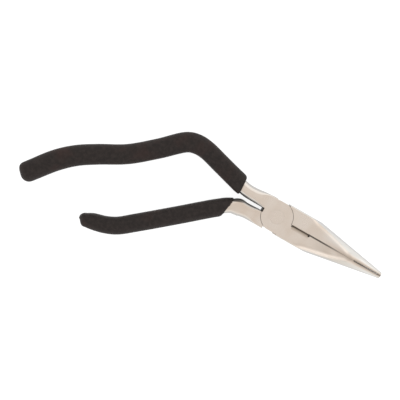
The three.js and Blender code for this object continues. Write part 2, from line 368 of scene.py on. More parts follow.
    def made(self) -> bpy.types.Material:
        """Builds the material.

        Returns:
            The finished material.
        """
        finish = Finish(self.name)
        x, y, z = finish.axes()
        cloud = finish.noise(finish.place, self.cloud_per_mm, detail=2.0)
        grain = finish.noise(finish.stretched(self.grain_stretch), self.grain_per_mm, detail=4.0,
                             rough=0.65)
        fleck = finish.noise(finish.place, self.fleck_per_mm, detail=2.0)
        colour = self.flats(finish, cloud, fleck, x, y)
        colour = self.roundings(finish, colour, x, y)
        for tan_shade in self.tan_shades:
            colour = finish.blend(tan_shade.share(x, y), colour, self.tan_shade_colour)
        # painted shade in the hairline, the slot and the jaws' gaps; the steel is also rougher and
        # less of a metal there
        shade_mask = self.shade_mask(x, y, z)
        finish.varies("Base Color", finish.blend(shade_mask, colour, self.gap_shade_colour))
        rough = (cloud - 0.5) * self.roughness_swing + (grain - 0.5) * self.roughness_swing
        finish.varies("Roughness", rough + self.roughness + shade_mask * self.seam_roughness)
        finish.varies("Metallic", 1.0 - shade_mask * self.seam_dullness)
        worn = finish.bump(self.wear(x, y), 1.0)
        lines = grain + fleck * self.fleck_height
        finish.varies("Normal", finish.bump(lines, self.grain_depth, worn))
        return finish.material

    def flats(self, finish: Finish, cloud: Socket, fleck: Socket, x: Socket, y: Socket) -> Socket:
        """Colour of the flat faces, with a painted highlight on the upper side beside the nose's
        cone.

        Args:
            finish: the material in the making.
            cloud: noise in broad clouds.
            fleck: noise in fine flecks.
            x: place along the jaws, in millimetres.
            y: place across the jaws.

        Returns:
            The colour.
        """
        tone = cloud.ramp(*self.cloud_tone) * self.cloud_share
        tone = tone + fleck.ramp(*self.fleck_tone) * self.fleck_share
        tone = tone + x.ramp(*self.neck_start) * self.neck_share
        colour = finish.blend(tone, self.colour, self.warm_colour)
        return finish.blend(self.upper_highlight.share(x, y), colour, self.upper_highlight_colour)

    def roundings(self, finish: Finish, colour: Socket, x: Socket, y: Socket) -> Socket:
        """Colour with painted highlights on the nose's cone, its lower rim and the necks' flats, and
        painted shade on the cone's lower side, the necks' rounded edges and the upright sides.

        Args:
            finish: the material in the making.
            colour: colour of the flat faces.
            x: place along the jaws, in millimetres.
            y: place across the jaws.

        Returns:
            The colour.
        """
        facing = add(finish.tree, "ShaderNodeNewGeometry", {}, output="Normal")
        tilt = abs(add(finish.tree, "ShaderNodeSeparateXYZ", {}, facing, output="Z"))
        neck = x.ramp(*self.neck_start)
        upper = y.ramp(*self.sides)
        lower = 1.0 - upper
        bright = finish.blend(lower * x.ramp(*self.cone_lower_shade_end), self.cone_highlight_colour,
                              self.cone_lower_shade_colour)
        colour = finish.blend(tilt.ramp(*self.cone_highlight_tilt), colour, bright)
        rim = abs(abs(y) - self.crest(x) - self.rim_offset).ramp(*self.rim_width) * lower
        rim = rim * x.ramp(*self.crest_start) * x.ramp(*self.rim_end)
        colour = finish.blend(rim, colour, self.rim_highlight_colour)
        band = tilt.ramp(*self.band_tilt) * abs(y).ramp(*self.band_side) * neck
        band = band * (upper * (self.band_upper - self.band_lower) + self.band_lower)
        colour = finish.blend(band, colour, self.band_highlight_colour)
        colour = finish.blend(tilt.ramp(*self.neck_shade_tilt) * neck, colour, self.neck_edge_shade_colour)
        return finish.blend(tilt.ramp(*self.flank_tilt) * self.flank_share, colour,
                            self.flank_shade_colour)

    def crest(self, x: Socket) -> Socket:
        """How far from the jaw axis the flats meet the nose's ground cone."""
        radius = self.nose_radius + (self.nose_length - x) * self.nose_slope
        return (radius * radius - self.mid_height ** 2).maths("MAXIMUM", 0.0) ** 0.5

    def wear(self, x: Socket, y: Socket) -> Socket:
        """Height of the flats where they round off towards the nose's ground cone.

        Args:
            x: place along the jaws, in millimetres.
            y: place across the jaws.

        Returns:
            Millimetres, 0 or less.
        """
        start = (self.crest(x) - self.crest_width).maths("MAXIMUM", 0.0)
        past = (abs(y) - start).maths("MAXIMUM", 0.0).maths("MINIMUM", self.crest_width)
        share = x.ramp(*self.crest_start) * x.ramp(*self.crest_end)
        return past * past * share * (-self.crest_curve / 2)

    def shade_mask(self, x: Socket, y: Socket, z: Socket) -> Socket:
        """Painted shade that darkens the steel: in the lap joint's hairline, along the slot's inner
        edges, and in the jaws' gaps, grooves and reliefs.

        Args:
            x: place along the jaws, in millimetres.
            y: place across the jaws.
            z: height.

        Returns:
            1 where the shade is painted in full and 0 elsewhere.
        """
        from_ring = abs((x * x + y * y) ** 0.5 - self.seam_radius)
        beside = (x * y * (z - self.mid_height)).ramp(*self.seam_quarter)
        beside = beside * abs(y).ramp(*self.seam_end)
        shade_mask = from_ring.ramp(*self.seam_width) * beside * self.seam_strength
        behind = (-self.slot_bend - x).maths("MAXIMUM", 0.0)
        lower = self.slot_lower + behind * behind * self.slot_spread
        border = self.slot_upper + y.ramp(*self.slot_sides) * (lower - self.slot_upper)
        strength = x.ramp(*self.slot_start) * self.slot_strength
        strength = strength + x.ramp(*self.slot_deep_start) * self.slot_deepening
        shade_mask = shade_mask.maths("MAXIMUM", (abs(y) - border).ramp(*self.slot_edge) * strength)
        for streak in self.recess_shades:
            # Builds the pliers and the studio.
            shade_mask = shade_mask.maths("MAXIMUM", streak.share(x, y))
        return shade_mask


@dataclass(frozen=True)
class RivetSteel:
    """The rivet's ground end: the same nickel with turning marks round its axis."""

    name: str = "rivet_steel"
    colour: Colour = (0.700, 0.612, 0.535, 1.0)
    warm_colour: Colour = (0.660, 0.565, 0.485, 1.0)
    cloud_per_mm: float = 0.3
    roughness: float = 0.28
    roughness_swing: float = 0.1
    ring_per_mm: float = 5.0
    ring_wobble: float = 6.0         # radians
    depth: float = 0.0002

    def made(self) -> bpy.types.Material:
        """Builds the material.

        Returns:
            The finished material.
        """
        finish = Finish(self.name)
        x, y, _ = finish.axes()
        cloud = finish.noise(finish.place, self.cloud_per_mm, detail=2.0)
        radius = (x * x + y * y) ** 0.5
        rings = (radius * (self.ring_per_mm * math.tau) + cloud * self.ring_wobble).maths("SINE")
        finish.varies("Base Color", finish.blend(cloud, self.colour, self.warm_colour))
        finish.varies("Roughness", self.roughness + (cloud - 0.5) * self.roughness_swing)
        finish.varies("Normal", finish.bump(rings * 0.5 + 0.5, self.depth))
        finish.fixed(Metallic=1.0)
        return finish.material


@dataclass(frozen=True)
class DippedVinyl:
    """Matte black dipped vinyl: fine grain, faint mottle and brownish patches."""

    name: str = "dipped_vinyl"
    colour: Colour = (0.0095, 0.0058, 0.0045, 1.0)
    light_colour: Colour = (0.0290, 0.0205, 0.0175, 1.0)
    warm_colour: Colour = (0.0330, 0.0140, 0.0105, 1.0)
    patch_per_mm: float = 0.07       # brownish patches
    patch_tone: Span = (0.48, 0.72)
    patch_share: float = 0.55
    mottle_per_mm: float = 0.55
    mottle_tone: Span = (0.35, 0.7)
    mottle_share: float = 0.6
    grain_per_mm: float = 3.2
    grain_tone: Span = (0.4, 0.75)
    grain_share: float = 0.4
    grain_depth: float = 0.030
    roughness: float = 0.66
    roughness_swing: float = 0.12
    specular: float = 0.28
    ripple_per_mm: float = 0.16
    ripple_depth: float = 0.10

    def made(self) -> bpy.types.Material:
        """Builds the material.

        Returns:
            The finished material.
        """
        finish = Finish(self.name)
        grain = finish.noise(finish.place, self.grain_per_mm, detail=3.0, rough=0.6)
        mottle = finish.noise(finish.place, self.mottle_per_mm, detail=4.0, rough=0.6)
        ripple = finish.noise(finish.place, self.ripple_per_mm, detail=1.0)
        patch = finish.noise(finish.place, self.patch_per_mm, detail=2.0)
        tone = mottle.ramp(*self.mottle_tone) * self.mottle_share
        tone = tone + grain.ramp(*self.grain_tone) * self.grain_share
        colour = finish.blend(tone, self.colour, self.light_colour)
        patch = patch.ramp(*self.patch_tone) * self.patch_share
        finish.varies("Base Color", finish.blend(patch, colour, self.warm_colour))
        rough = (mottle - 0.5) * self.roughness_swing + (grain - 0.5) * self.roughness_swing
        finish.varies("Roughness", rough + self.roughness)
        low = finish.bump(ripple, self.ripple_depth)
        finish.varies("Normal", finish.bump(grain, self.grain_depth, low))
        finish.fixed(Specular_IOR_Level=self.specular)
        return finish.material


# ---- Meshes ----


def made_mesh(name: str, points: np.ndarray, faces: list[list[int]]) -> bpy.types.Object:
    """A new object with that mesh, its faces turned outwards.

    Args:
        name: the object's name.
        points: places in millimetres.
        faces: corners of each face.

    Returns:
        The object, linked to the scene.
    """
    mesh = bpy.data.meshes.new(name)
    mesh.from_pydata([tuple(point) for point in points], [], faces)
    piece = bpy.data.objects.new(name, mesh)
    bpy.context.scene.collection.objects.link(piece)
    reworked(piece, lambda bm: bmesh.ops.recalc_face_normals(bm, faces=bm.faces))
    return piece


def reworked(piece: bpy.types.Object, work: Callable[[bmesh.types.BMesh], object]) -> None:
    """Runs a step of mesh work on a piece."""
    bm = bmesh.new()
    bm.from_mesh(piece.data)
    work(bm)
    bm.to_mesh(piece.data)
    bm.free()


def cleaned(bm: bmesh.types.BMesh) -> None:
    """Merges doubles and turns the faces outwards."""
    bmesh.ops.remove_doubles(bm, verts=bm.verts, dist=WELD)
    bmesh.ops.recalc_face_normals(bm, faces=bm.faces)


def lofted(name: str, rings: list[np.ndarray], closed: bool = False) -> bpy.types.Object:
    """A skin through rings of points, capped at both ends or joined end to end.

    Args:
        name: the object's name.
        rings: equally many points each, in order round the ring.
        closed: joins the last ring to the first, instead of capping the ends.

    Returns:
        The object.
    """
    count = len(rings[0])
    faces = []
    for ring in range(len(rings) - (0 if closed else 1)):
        here, there = ring * count, (ring + 1) % len(rings) * count
        for side in range(count):
            after = (side + 1) % count
            faces.append([here + side, here + after, there + after, there + side])
    if not closed:
        last = (len(rings) - 1) * count
        faces.append(list(range(count)))
        faces.append([last + side for side in range(count)])
    return made_mesh(name, np.concatenate(rings), faces)


def turned(name: str, profile: Points, sides: int, along_x: bool = False) -> bpy.types.Object:
    """A solid of revolution about Z, or about X.

    Args:
        name: the object's name.
        profile: (radius, place along the axis), from end to end.
        sides: steps round the axis.
        along_x: turns it about X instead of Z.

    Returns:
        The object.
    """
    angles = np.arange(sides) * math.tau / sides
    rings = []
    for radius, along in profile:
        round_it = np.column_stack([np.cos(angles), np.sin(angles)]) * radius
        level = np.full((sides, 1), along)
        rings.append(np.hstack([level, round_it] if along_x else [round_it, level]))
    return lofted(name, rings)


def prism(name: str, outline: Points, low: float, high: float) -> bpy.types.Object:
    """A straight prism over an outline in X and Y."""
    flat = np.array(outline, float)
    rings = [np.column_stack([flat, np.full(len(flat), level)]) for level in (low, high)]
    return lofted(name, rings)


def box(x0: float, x1: float, y0: float, y1: float, z0: float, z1: float) -> bpy.types.Object:
    """A block between two corners, for cutting."""
    return prism("block", [(x0, y0), (x1, y0), (x1, y1), (x0, y1)], z0, z1)


def apply_modifiers(piece: bpy.types.Object) -> None:
    """Turns a piece's modifiers into its plain mesh."""
    graph = bpy.context.evaluated_depsgraph_get()
    mesh = bpy.data.meshes.new_from_object(piece.evaluated_get(graph))
    piece.modifiers.clear()
    old = piece.data
    piece.data = mesh
    bpy.data.meshes.remove(old)


def combine(piece: bpy.types.Object, how: Cut, *tools: bpy.types.Object) -> bpy.types.Object:
    """Joins or cuts a piece with others, which are used up.

    Args:
        piece: what is worked on.
        how: what the tools do to it.
        tools: the other solids.

    Returns:
        The piece.
    """
    for tool in tools:
        modifier = piece.modifiers.new("combine", "BOOLEAN")
        modifier.operation = how.value
        modifier.object = tool
        modifier.solver = "MANIFOLD"
        apply_modifiers(piece)
        bpy.data.objects.remove(tool)
    return piece


def moved(piece: bpy.types.Object, matrix: Matrix) -> bpy.types.Object:
    """Moves a piece's mesh."""
    piece.data.transform(matrix)
    return piece


def dressed(piece: bpy.types.Object, material: bpy.types.Material, smooth: float) -> None:
    """Finishes a piece: metres, one material and smooth shading up to an angle.

    Args:
        piece: the piece, in millimetres.
        material: its finish.
        smooth: faces that meet at less than this angle in degrees are shaded as one surface.
    """
    piece.data.transform(Matrix.Scale(MM, 4))
    piece.data.materials.clear()
    piece.data.materials.append(material)
    piece.data.polygons.foreach_set("material_index", [0] * len(piece.data.polygons))
    piece.data.polygons.foreach_set("use_smooth", [True] * len(piece.data.polygons))
    piece.data.set_sharp_from_angle(angle=math.radians(smooth))
    weighted = piece.modifiers.new("weighted", "WEIGHTED_NORMAL")
    weighted.keep_sharp = True
    weighted.mode = "FACE_AREA"
    weighted.weight = 100
    apply_modifiers(piece)


# ---- Geometry Nodes ----


def geometry_tree(name: str, inputs: dict[str, str]) -> tuple[bpy.types.NodeTree, dict[str, Socket]]:
    """A new Geometry Nodes tree with a geometry going in and one coming out.

    Args:
        name: the tree's name.
        inputs: the name and socket type of each further input.

    Returns:
        The tree, and its inputs by name.
    """
    tree = bpy.data.node_groups.new(name, "GeometryNodeTree")
    tree.interface.new_socket("Geometry", in_out="INPUT", socket_type="NodeSocketGeometry")
    tree.interface.new_socket("Geometry", in_out="OUTPUT", socket_type="NodeSocketGeometry")
    for label, kind in inputs.items():
        tree.interface.new_socket(label, in_out="INPUT", socket_type=kind)
    group = tree.nodes.new("NodeGroupInput")
    return tree, {socket.name: Socket(tree, socket) for socket in group.outputs if socket.name}


def stored(tree: bpy.types.NodeTree, kind: str, geometry: Socket, name: str,
           value: Socket) -> Socket:
    """The geometry with a value of that kind stored on its points under a name."""
    return add(tree, "GeometryNodeStoreNamedAttribute", {"data_type": kind, "domain": "POINT"},
               geometry, None, name, value)


def read(tree: bpy.types.NodeTree, kind: str, *names: str) -> dict[str, Socket]:
    """The named values of that kind which the points carry."""
    return {name: add(tree, "GeometryNodeInputNamedAttribute", {"data_type": kind}, name)
            for name in names}


def end_tree(tree: bpy.types.NodeTree, geometry: Socket, material: Socket) -> None:
    """Ends a tree in Realize Instances and Set Material."""
    real = add(tree, "GeometryNodeRealizeInstances", {}, geometry)
    painted = add(tree, "GeometryNodeSetMaterial", {}, real, None, material)
    out = tree.nodes.new("NodeGroupOutput")
    tree.links.new(painted.value, out.inputs[0])


def run_tree(piece: bpy.types.Object, tree: bpy.types.NodeTree, values: dict[str, object]) -> None:
    """Runs a tree on a piece and leaves a plain mesh.

    Args:
        piece: the object that the tree starts from.
        tree: the tree.
        values: what goes into its inputs, by name.
    """
    modifier = piece.modifiers.new(tree.name, "NODES")
    modifier.node_group = tree
    sockets = {item.name: item.identifier for item in tree.interface.items_tree
               if item.in_out == "INPUT"}
    for label, value in values.items():
        modifier[sockets[label]] = value
    apply_modifiers(piece)


def bar_tree() -> bpy.types.NodeTree:
    """A bar with rounded edges that follows a path.

    The path's points carry half_width, half_height and edge_radius. The section has as many points
    on each of its four rounded edges as Edge Points says.

    Returns:
        The tree.
    """
    tree, given = geometry_tree("forged_bar", {"Edge Points": "NodeSocketInt",
                                               "Material": "NodeSocketMaterial"})
    sizes = read(tree, "FLOAT", "half_width", "half_height", "edge_radius")
    curve = add(tree, "GeometryNodeMeshToCurve", {}, given["Geometry"])
    along = add(tree, "GeometryNodeInputTangent", {})
    curve = stored(tree, "FLOAT_VECTOR", curve, "along", along)
    centre = add(tree, "GeometryNodeInputPosition", {})
    curve = stored(tree, "FLOAT_VECTOR", curve, "centre", centre)
    section = add(tree, "GeometryNodeCurvePrimitiveCircle", {}, given["Edge Points"] * 4.0)
    index = add(tree, "GeometryNodeInputIndex", {})
    corner = (index / given["Edge Points"]).maths("FLOOR")
    step = index.maths("MODULO", given["Edge Points"])
    turn = (corner + step / (given["Edge Points"] - 1.0)) * (math.pi / 2)
    middle = (corner + 0.5) * (math.pi / 2)
    shape = {"arc_side": turn.maths("COSINE"), "arc_rise": turn.maths("SINE"),
             "corner_side": middle.maths("COSINE").maths("SIGN"),
             "corner_rise": middle.maths("SINE").maths("SIGN")}
    for name, value in shape.items():
        section = stored(tree, "FLOAT", section, name, value)
    skin = add(tree, "GeometryNodeCurveToMesh", {}, curve, section, Fill_Caps=True)
    share = read(tree, "FLOAT", *shape)
    radius = sizes["edge_radius"]
    side = share["corner_side"] * (sizes["half_width"] - radius) + share["arc_side"] * radius
    rise = share["corner_rise"] * (sizes["half_height"] - radius) + share["arc_rise"] * radius
    path = read(tree, "FLOAT_VECTOR", "along", "centre")
    right = add(tree, "ShaderNodeVectorMath", {"operation": "CROSS_PRODUCT"}, path["along"],
                (0.0, 0.0, 1.0))
    out = add(tree, "ShaderNodeVectorMath", {"operation": "SCALE"}, right, Scale=side)
    up = add(tree, "ShaderNodeCombineXYZ", {}, 0.0, 0.0, rise)
    place = add(tree, "ShaderNodeVectorMath", {"operation": "ADD"}, path["centre"], out)
    place = add(tree, "ShaderNodeVectorMath", {"operation": "ADD"}, place, up)
    skin = add(tree, "GeometryNodeSetPosition", {}, skin, None, place)
    end_tree(tree, skin, given["Material"])
    return tree


def teeth_tree() -> bpy.types.NodeTree:
    """A row of equal groove cutters, each the mesh that goes in, Pitch apart along X.

    Returns:
        The tree.
    """
    tree, given = geometry_tree("gripping_teeth", {"Count": "NodeSocketInt",
                                                   "Pitch": "NodeSocketFloat",
                                                   "Start": "NodeSocketFloat",
                                                   "Material": "NodeSocketMaterial"})
    first = add(tree, "ShaderNodeCombineXYZ", {}, given["Start"], 0.0, 0.0)
    step = add(tree, "ShaderNodeCombineXYZ", {}, given["Pitch"], 0.0, 0.0)
    row = add(tree, "GeometryNodeMeshLine", {"mode": "OFFSET"}, Count=given["Count"],
              Start_Location=first, Offset=step)
    cutters = add(tree, "GeometryNodeInstanceOnPoints", {}, row, Instance=given["Geometry"])
    end_tree(tree, cutters, given["Material"])
    return tree


# ---- Handles ----


@dataclass(frozen=True)
class HandleLine:
    """A handle's centre line, from the joint to the end of its grip, with its neck on +Y."""

    points: tuple[Triple, ...]       # x, y and half width of the steel
    samples: int = 60        # steps between two points

    def dense(self) -> np.ndarray:
        """The line as many close points: a centripetal Catmull-Rom curve through its own.

        Returns:
            Rows of x, y and half width.
        """
        given = np.array(self.points, float)
        ends = [2 * given[0] - given[1], 2 * given[-1] - given[-2]]
        all_points = np.vstack([ends[:1], given, ends[1:]])
        share = np.linspace(0, 1, self.samples, endpoint=False)[:, None]
        rows = []
        for before, here, there, after in zip(all_points, all_points[1:], all_points[2:],
                                              all_points[3:]):
            gaps = [math.sqrt(np.linalg.norm(b - a))
                    for a, b in ((before, here), (here, there), (there, after))]
            leave = (here - before) / gaps[0] - (there - before) / (gaps[0] + gaps[1])
            leave = (leave + (there - here) / gaps[1]) * gaps[1]
            arrive = (there - here) / gaps[1] - (after - here) / (gaps[1] + gaps[2])
            arrive = (arrive + (after - there) / gaps[2]) * gaps[1]
            rows.append(here + leave * share
                        + (3 * (there - here) - 2 * leave - arrive) * share ** 2
                        + (2 * (here - there) + leave + arrive) * share ** 3)
        return np.vstack([*rows, given[-1:]])

    def stations(self) -> "Stations":
        """The dense line with its lengths and directions."""
        rows = self.dense()
        steps = np.linalg.norm(np.diff(rows[:, :2], axis=0), axis=1)
        along = np.gradient(rows[:, :2], axis=0)
        along /= np.linalg.norm(along, axis=1)[:, None]
        return Stations(np.concatenate([[0.0], np.cumsum(steps)]), rows, along)


@dataclass(frozen=True)
class Stations:
    """A handle's line by length: where it is, how wide its steel is and which way it runs."""

    length: np.ndarray
    rows: np.ndarray
    along: np.ndarray

    def at(self, where: np.ndarray) -> tuple[np.ndarray, np.ndarray, np.ndarray, np.ndarray]:
        """Reads the line.

        Args:
            where: lengths from the joint, in millimetres.

        Returns:
            Centres, directions, the directions to the right of them, and the steel's half widths.
        """
        rows = np.column_stack([np.interp(where, self.length, self.rows[:, i]) for i in range(3)])
        along = np.column_stack([np.interp(where, self.length, self.along[:, i]) for i in range(2)])
        along /= np.linalg.norm(along, axis=1)[:, None]
        right = np.column_stack([along[:, 1], -along[:, 0]])
        return rows[:, :2], along, right, rows[:, 2]

    def total(self) -> float:
        """The line's whole length."""
        return float(self.length[-1])


UPPER_NECK = ((0, 4.8, 4), (-8.5, 4.75, 4), (-17, 4.35, 3.6))
UPPER_TANG = (
    (-24.5, 4.95, 3.7), (-30, 6.6, 3.7), (-40.6, 9.6, 3.7), (-51.4, 12.4, 3.75), (-57, 12.6, 3.95),
    (-62.3, 11, 4.05), (-74.6, -0.2, 3.95), (-87.5, -11, 3.95), (-101.9, -19.4, 4.1),
    (-111.3, -25.5, 4.2), (-119.6, -33, 4.3), (-130.3, -46.4, 4.2))
LOWER_NECK = ((0, 5.45, 4.1), (-8.5, 5.45, 4.1), (-17, 5.75, 4.2))
LOWER_TANG = (
    (-24.8, 8, 3.75), (-30.4, 12.1, 3.5), (-46.4, 25.85, 3.4), (-65.1, 41.65, 3.4),
    (-73.3, 48.2, 3.3), (-79.7, 51.15, 3.15), (-86.5, 52.95, 2.9), (-90, 54.1, 2.2))
# The grips follow these lines, and the forgings the same ones with a shapelier neck.
UPPER_LINE = HandleLine(UPPER_NECK + UPPER_TANG)
LOWER_LINE = HandleLine(LOWER_NECK + LOWER_TANG)
UPPER_STEEL = HandleLine(((0, 4.8, 4), (-8.5, 4.58, 4.17), (-17, 4.13, 3.82), (-21, 4.25, 3.75))
                         + UPPER_TANG)
LOWER_STEEL = HandleLine(LOWER_NECK + ((-20.4, 6.05, 4.75), (-22.9, 7.0, 4.3)) + LOWER_TANG)


# ---- Sub-assemblies ----


@dataclass(frozen=True)
class LapJoint:
    """The sizes that both halves and the rivet share, from the frame where it has them."""

    thickness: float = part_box("pivot_rivet")[1].z / MM
    jaw_length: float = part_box("front_half")[1].x / MM
    rivet_radius: float = 3.0
    rivet_head_radius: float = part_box("pivot_rivet")[1].x / MM
    rivet_head_depth: float = 1.0
    rivet_play: float = 0.02
    disc_radius: float = 8.9
    shoulder_gap: float = 0.1
    layer_gap: float = 0.08
    cheek_half_width: float = 8.6
    cheek_neck_end: float = 7.7
    cheek_jaw_end: float = 4.4
    neck_shoulder_angle: float = 60.0
    neck_shoulder_end: float = 3.9
    jaw_shoulder_angle: float = 63.0
    jaw_shoulder_end: float = 2.8
    sides: int = 256

    @property
    def middle(self) -> float:
        """Mid height of the joint."""
        return self.thickness / 2

    def rivet_profile(self, play: float) -> Points:
        """The rivet's outline, wider by the play all round."""
        shank, head = self.rivet_radius + play, self.rivet_head_radius + play
        return [(head, 0), (shank, self.rivet_head_depth),
                (shank, self.thickness - self.rivet_head_depth), (head, self.thickness)]

    def turned_over(self) -> Matrix:
        """Turns a piece over about the jaws, from the front half's place to the back half's."""
        return Matrix.Translation((0, 0, self.thickness)) @ Matrix.Rotation(math.pi, 4, "X")


@dataclass
class Forging:
    """One half of the pliers: tang, neck, disc and jaw in one forging."""

    name: str
    half: Half
    body: str
    line: HandleLine
    joint: LapJoint
    neck_outline: float              # how far the neck's shoulder stands from the axis
    cutter_bevel: float              # half width of the bevels of the cutting edge
    steel: bpy.types.Material
    tang_thickness: float = 7.6
    taper_start: float = 11.5        # behind the pivot
    taper_end: float = 24.9
    tang_short: float = 4.0          # the tang ends this much before its grip
    joint_edge: float = 0.7          # edge radii
    neck_edge: float = 2.6
    neck_settle: float = 8.0         # length over which the neck takes its own edge
    tang_edge: float = 1.3
    tang_edge_start: float = 26.0    # behind the pivot
    tang_edge_settle: float = 8.0
    path_steps: int = 170
    edge_points: int = 12
    cap_steps: int = 8               # of the tang's round end
    cap_blunt: float = 0.12          # least share of the section there
    cap_fullness: float = 0.4        # power by which its height shrinks after its width
    cap_edge: float = 0.9
    jaw_half_width: float = 9.3
    jaw_edge: float = 0.9
    jaw_steps: int = 90
    tip_radius: float = 1.75
    tip_rounding: float = 0.8
    tip_steps: int = 8
    cone_half_angle: float = 10.1
    cone_steps: int = 100
    cone_sides: int = 288
    cutter_start: float = 9.9
    cutter_end: float = 20.2
    cutter_bevel_depth: float = 0.8
    blade_gap: float = 0.1
    throat_end: float = 44.0
    throat_gap: float = 0.24
    grip_gap: float = 0.1
    tooth_pitch: float = 1.25
    tooth_depth: float = 0.3
    tooth_half: float = 0.46         # half width of a groove, as a share of the pitch
    tooth_start: float = 48.0
    tooth_tip_margin: float = 1.2
    relief_radius: float = 0.42      # small drilled reliefs at the ends of the cutter
    relief_depth: float = 2.0
    relief_past: float = 0.2         # beyond the cutter's ends
    relief_across: Span = (-0.4, -0.7)         # of the inner one and the outer one
    relief_sides: int = 32
    smooth_angle: float = 24.0
    piece: bpy.types.Object = field(init=False, default=None)

    def build(self, bars: bpy.types.NodeTree, teeth: bpy.types.NodeTree) -> None:
        """Builds the forging in the front half's place, and turns the back half over."""
        joint = self.joint
        layer = joint.middle + joint.layer_gap / 2
        top = joint.thickness + BEYOND
        piece = self.handle(bars)
        disc = turned("disc", [(joint.disc_radius, layer), (joint.disc_radius, joint.thickness)],
                      joint.sides)
        combine(piece, Cut.ADD, self.jaw(bars, teeth), disc)
        pocket = turned("pocket", [(joint.disc_radius + joint.shoulder_gap, -BEYOND),
                                   (joint.disc_radius + joint.shoulder_gap, layer)], joint.sides)
        combine(piece, Cut.TAKE, pocket, *self.shoulder_cuts(layer), *self.cheek_cuts(layer, top))
        combine(piece, Cut.TAKE, turned("bore", joint.rivet_profile(joint.rivet_play), joint.sides))
        if self.half is Half.BACK:
            moved(piece, joint.turned_over())
        piece.name = self.name
        self.piece = piece

    def handle(self, bars: bpy.types.NodeTree) -> bpy.types.Object:
        """Neck and tang: a bar that follows the handle's line and thins down into the grip.

        Args:
            bars: the tree that sweeps a bar.

        Returns:
            The bar.
        """
        stations = self.line.stations()
        where = np.linspace(0, stations.total() - self.tang_short, self.path_steps)
        centre, _, _, half = stations.at(where)
        behind = -centre[:, 0]
        share = np.clip((behind - self.taper_start) / (self.taper_end - self.taper_start), 0, 1)
        height = self.joint.middle + (self.tang_thickness / 2 - self.joint.middle) * share
        settle = np.clip((behind - self.joint.cheek_neck_end) / self.neck_settle, 0, 1)
        settle = settle * settle * (3 - 2 * settle)
        edge = self.joint_edge + (self.neck_edge - self.joint_edge) * settle
        settle = np.clip((behind - self.tang_edge_start) / self.tang_edge_settle, 0, 1)
        edge = edge + (self.tang_edge - self.neck_edge) * settle
        cap = np.linspace(0, math.pi / 2, self.cap_steps + 1)[1:]
        last, along, _, radius = stations.at(np.full(len(cap), where[-1]))
        tip = last + along * (radius * np.sin(cap))[:, None]
        shrink = np.maximum(np.cos(cap), self.cap_blunt)
        rows = np.vstack([np.column_stack([centre, half, height, edge]),
                          np.column_stack([tip, radius * shrink,
                                           height[-1] * shrink ** self.cap_fullness,
                                           self.tang_edge * shrink * self.cap_edge])])
        return self.swept("handle", rows, bars)

    def swept(self, name: str, rows: np.ndarray, bars: bpy.types.NodeTree) -> bpy.types.Object:
        """A rounded bar at mid height through rows of x, y, half width, half height, edge radius."""
        points = np.column_stack([rows[:, :2], np.full(len(rows), self.joint.middle)])
        mesh = bpy.data.meshes.new(name)
        mesh.from_pydata(points.tolist(), [(i, i + 1) for i in range(len(rows) - 1)], [])
        for column, label in ((2, "half_width"), (3, "half_height"), (4, "edge_radius")):
            data = mesh.attributes.new(label, "FLOAT", "POINT").data
            data.foreach_set("value", rows[:, column].astype(np.float32))
        piece = bpy.data.objects.new(name, mesh)
        bpy.context.scene.collection.objects.link(piece)
        run_tree(piece, bars, {"Edge Points": self.edge_points, "Material": self.steel})
        reworked(piece, cleaned)
        return piece

    def jaw(self, bars: bpy.types.NodeTree, teeth: bpy.types.NodeTree) -> bpy.types.Object:
        """The jaw below the jaw line: a rounded bar inside the nose cone, less the line's cuts.

        Args:
            bars: the tree that sweeps a bar.
            teeth: the tree that repeats the groove cutter.

        Returns:
            The jaw.
        """
        joint = self.joint
        length = joint.jaw_length
        width = self.jaw_half_width
        bar = self.swept("jaw", np.array([[x, 0, width, joint.middle, self.jaw_edge]
                                          for x in np.linspace(0, length + width,
                                                               self.jaw_steps)]), bars)
        slope = math.tan(math.radians(self.cone_half_angle))
        profile = [(self.tip_radius + slope * (length - x), x)
                   for x in np.linspace(-width, length - self.tip_rounding, self.cone_steps,
                                        endpoint=False)]
        for step in range(self.tip_steps + 1):
            angle = math.pi / 2 * step / self.tip_steps
            back = self.tip_rounding * (1 - math.sin(angle))
            inward = self.tip_rounding * (1 - math.cos(angle))
            profile.append((self.tip_radius + slope * back - inward, length - back))
        cone = turned("cone", profile, self.cone_sides, along_x=True)
        moved(cone, Matrix.Translation((0, 0, joint.middle)))
        top = joint.thickness + BEYOND
        combine(bar, Cut.KEEP, cone, box(0, FAR, -FAR, -self.grip_gap / 2, -BEYOND, top))
        throat = prism("throat", [(self.cutter_end, BEYOND), (self.cutter_end, -self.throat_gap / 2),
                                  (self.throat_end, -self.grip_gap / 2), (self.throat_end, BEYOND)],
                       -BEYOND, top)
        return combine(bar, Cut.TAKE, throat, *self.cutter_bevels(), *self.reliefs(top),
                       self.tooth_cutters(teeth, top))

    def cutter_bevels(self) -> list[bpy.types.Object]:
        """The ground bevels of the cutting edge, one from each face."""
        tools = []
        for face, inward in ((0.0, 1.0), (self.joint.thickness, -1.0)):
            outside = face - inward * BEYOND
            root = face + inward * self.cutter_bevel_depth
            section = [(BEYOND, outside), (BEYOND, root), (-self.blade_gap / 2, root),
                       (-self.cutter_bevel, face), (-self.cutter_bevel, outside)]
            rings = [np.array([(x, y, z) for y, z in section])
                     for x in (self.cutter_start, self.cutter_end)]
            tools.append(lofted("bevel", rings))
        return tools

    def reliefs(self, top: float) -> list[bpy.types.Object]:
        """Small drilled reliefs at both ends of the front half's cutting edge."""
        if self.half is Half.BACK:
            return []
        bottom = self.joint.thickness - self.relief_depth
        profile = [(self.relief_radius, bottom), (self.relief_radius, top)]
        ends = (self.cutter_start - self.relief_past, self.cutter_end + self.relief_past)
        return [moved(turned("relief", profile, self.relief_sides), Matrix.Translation((x, y, 0)))
                for x, y in zip(ends, self.relief_across)]

